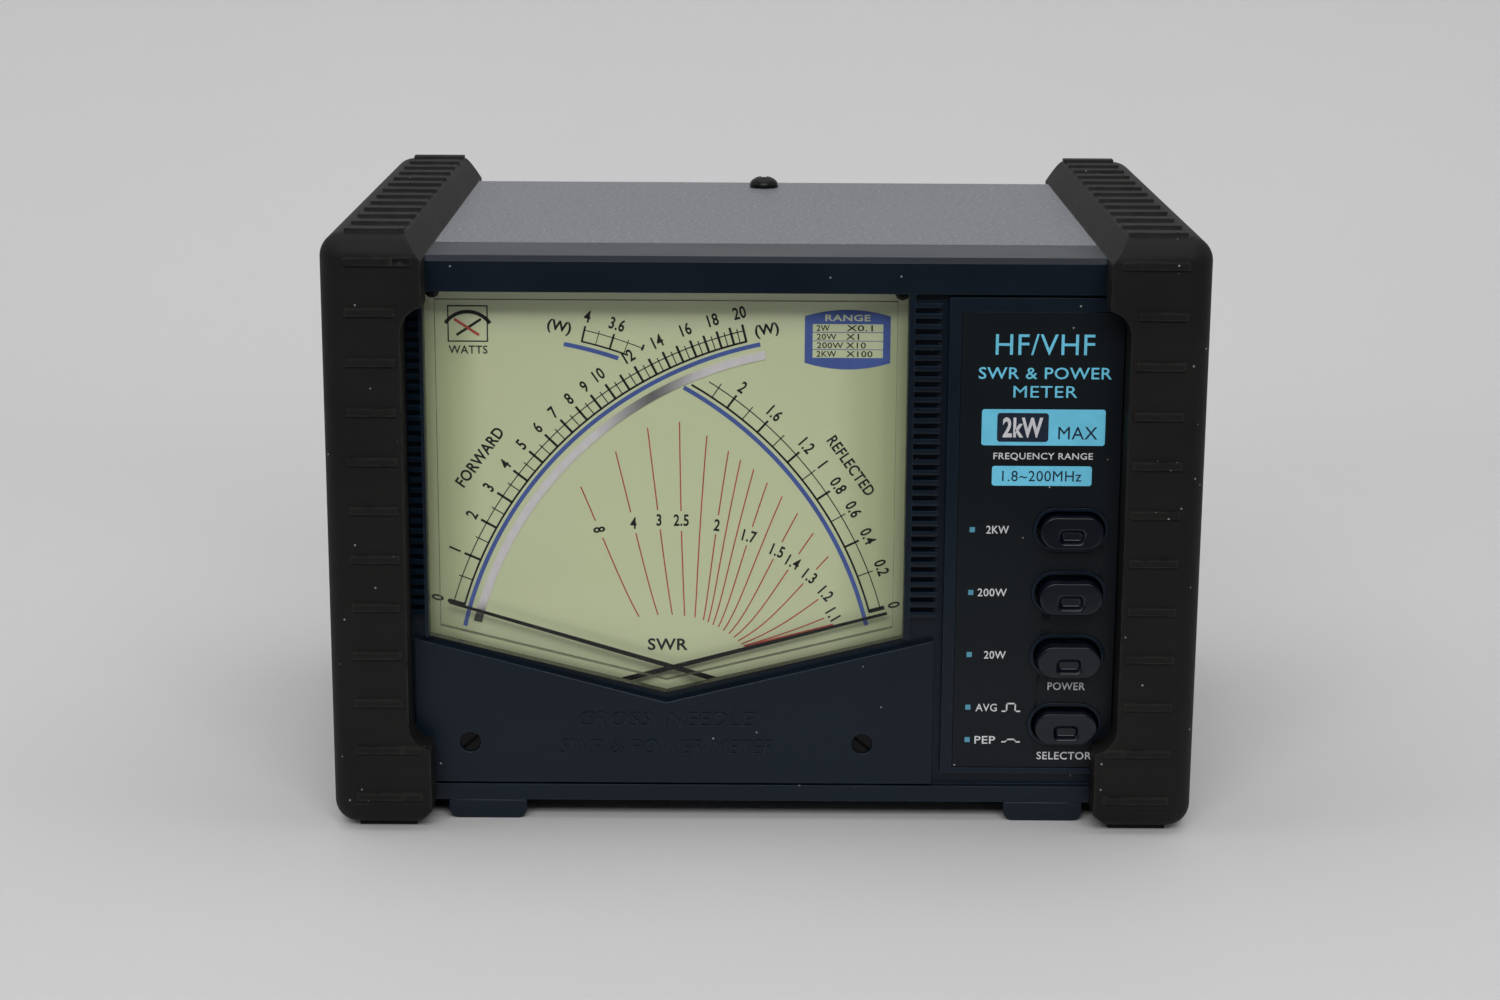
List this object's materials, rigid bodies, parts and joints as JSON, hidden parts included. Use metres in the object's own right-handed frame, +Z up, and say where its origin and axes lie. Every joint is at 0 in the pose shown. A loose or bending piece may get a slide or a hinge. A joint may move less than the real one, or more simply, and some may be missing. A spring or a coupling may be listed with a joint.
{
  "type": "swr meter",
  "caption": "Bench SWR and power meter with a crossed-needle dial, push buttons, rubber side bumpers and coaxial sockets at the rear.",
  "frame": {"origin": "on the bench under the middle of the whole meter", "axes": "+Z up, the dial faces -Y, +X to the right as seen from the front"},
  "size_m": [0.165, 0.132, 0.116],
  "materials": {
    "cover_paint": "fine speckled blue-grey powder coat",
    "chassis_steel": "zinc plated sheet",
    "navy_plastic": "moulded dark navy",
    "inlay_print": "black sheet printed in light blue and grey",
    "bumper_rubber": "matt black, lightly dusty",
    "black_screws": "blackened steel",
    "bright_screws": "bright zinc",
    "window_clear": "clear moulded acrylic",
    "dial_face": "pale green translucent dial, printed",
    "mirror_band": "mirror strip",
    "diffuser_white": "opal",
    "housing_black": "black moulding",
    "board_green": "circuit board",
    "lamp_clear": "clear lamps",
    "soft_iron": "plated iron",
    "magnet_grey": "ground magnet",
    "brass_parts": "turned brass",
    "coil_wire": "enamelled wire",
    "needle_black": "painted black",
    "switch_body": "switch moulding",
    "plunger_white": "nylon",
    "part_mix": "board components",
    "ferrite_grey": "ferrite",
    "plated_socket": "nickel plate",
    "insulator": "socket insulator",
    "contact_plate": "silvered contacts",
    "case_plastic": "supply socket"
  },
  "bodies": {
    "case": {"top_cover": "cover_paint", "chassis": "chassis_steel", "front_bezel": "navy_plastic", "lower_fascia": "navy_plastic", "control_panel": "navy_plastic", "panel_inlay": "inlay_print", "right_bumper": "bumper_rubber", "left_bumper": "bumper_rubber", "front_feet": "navy_plastic", "cover_screws": "black_screws", "short_screws": "bright_screws", "meter_window": "window_clear", "dial_plate": "dial_face", "dial_screws": "black_screws", "dial_mirror": "mirror_band", "light_diffuser": "diffuser_white", "meter_housing": "housing_black", "lamp_board": "board_green", "meter_lamps": "lamp_clear", "yokes": "soft_iron", "core_magnets": "magnet_grey", "core_straps": "brass_parts", "bridges": "brass_parts", "jewel_screws": "brass_parts", "range_switch_bank": "switch_body", "selector_switch": "switch_body", "control_board": "board_green", "board_standoffs": "brass_parts", "board_components": "part_mix", "sensor_case": "chassis_steel", "sensor_lid": "chassis_steel", "sensor_board": "board_green", "through_line": "brass_parts", "coupler_toroid": "ferrite_grey", "transmitter_socket": "plated_socket", "antenna_socket": "plated_socket", "socket_insulators": "insulator", "socket_contacts": "contact_plate", "socket_screws": "bright_screws", "supply_socket": "case_plastic", "supply_pin": "contact_plate", "supply_nut": "plated_socket"},
    "forward_pointer": {"forward_coil": "coil_wire", "forward_staff": "bright_screws", "forward_needle": "needle_black"},
    "reflected_pointer": {"reflected_coil": "coil_wire", "reflected_staff": "bright_screws", "reflected_needle": "needle_black"},
    "forward_adjuster": {"forward_zero_screw": "black_screws"},
    "forward_fork": {"forward_zero_arm": "brass_parts"},
    "reflected_adjuster": {"reflected_zero_screw": "black_screws"},
    "reflected_fork": {"reflected_zero_arm": "brass_parts"},
    "key_2kw": {"button_2kw": "navy_plastic", "plunger_2kw": "plunger_white"},
    "key_200w": {"button_200w": "navy_plastic", "plunger_200w": "plunger_white"},
    "key_20w": {"button_20w": "navy_plastic", "plunger_20w": "plunger_white"},
    "key_selector": {"button_selector": "navy_plastic", "plunger_selector": "plunger_white"}
  },
  "joints": [
    {"name": "forward_needle_swing", "type": "hinge", "parent": "case", "child": "forward_pointer", "pos_m": [0.0144, -0.0519, 0.0196], "axis": [0, 1, 0], "range_deg": [-1.5, 63], "stiffness_Nm_per_rad": 0.00002},
    {"name": "forward_zero_turn", "type": "hinge", "parent": "case", "child": "forward_adjuster", "pos_m": [0.0192, -0.0562, 0.0155], "axis": [0, 1, 0], "range_deg": [-25, 25]},
    {"name": "forward_fork_turn", "type": "hinge", "parent": "case", "child": "forward_fork", "pos_m": [0.0144, -0.0535, 0.0196], "axis": [0, 1, 0], "range_deg": [-5.5, 5.5]},
    {"name": "reflected_needle_swing", "type": "hinge", "parent": "case", "child": "reflected_pointer", "pos_m": [-0.0518, -0.0519, 0.0196], "axis": [0, -1, 0], "range_deg": [-1.5, 63], "stiffness_Nm_per_rad": 0.00002},
    {"name": "reflected_zero_turn", "type": "hinge", "parent": "case", "child": "reflected_adjuster", "pos_m": [-0.0566, -0.0562, 0.0155], "axis": [0, -1, 0], "range_deg": [-25, 25]},
    {"name": "reflected_fork_turn", "type": "hinge", "parent": "case", "child": "reflected_fork", "pos_m": [-0.0518, -0.0535, 0.0196], "axis": [0, -1, 0], "range_deg": [-5.5, 5.5]},
    {"name": "push_2kw", "type": "slide", "parent": "case", "child": "key_2kw", "axis": [0, 1, 0], "range_m": [-0.0015, 0.001], "stiffness_N_per_m": 800},
    {"name": "push_200w", "type": "slide", "parent": "case", "child": "key_200w", "axis": [0, 1, 0], "range_m": [0, 0.0025], "stiffness_N_per_m": 800},
    {"name": "push_20w", "type": "slide", "parent": "case", "child": "key_20w", "axis": [0, 1, 0], "range_m": [0, 0.0025], "stiffness_N_per_m": 800},
    {"name": "push_selector", "type": "slide", "parent": "case", "child": "key_selector", "axis": [0, 1, 0], "range_m": [-0.0015, 0.001], "stiffness_N_per_m": 800}
  ],
  "couplings": [
    {"joint": "forward_fork_turn", "follows": "forward_zero_turn", "ratio": -0.211},
    {"joint": "reflected_fork_turn", "follows": "reflected_zero_turn", "ratio": -0.211}
  ]
}
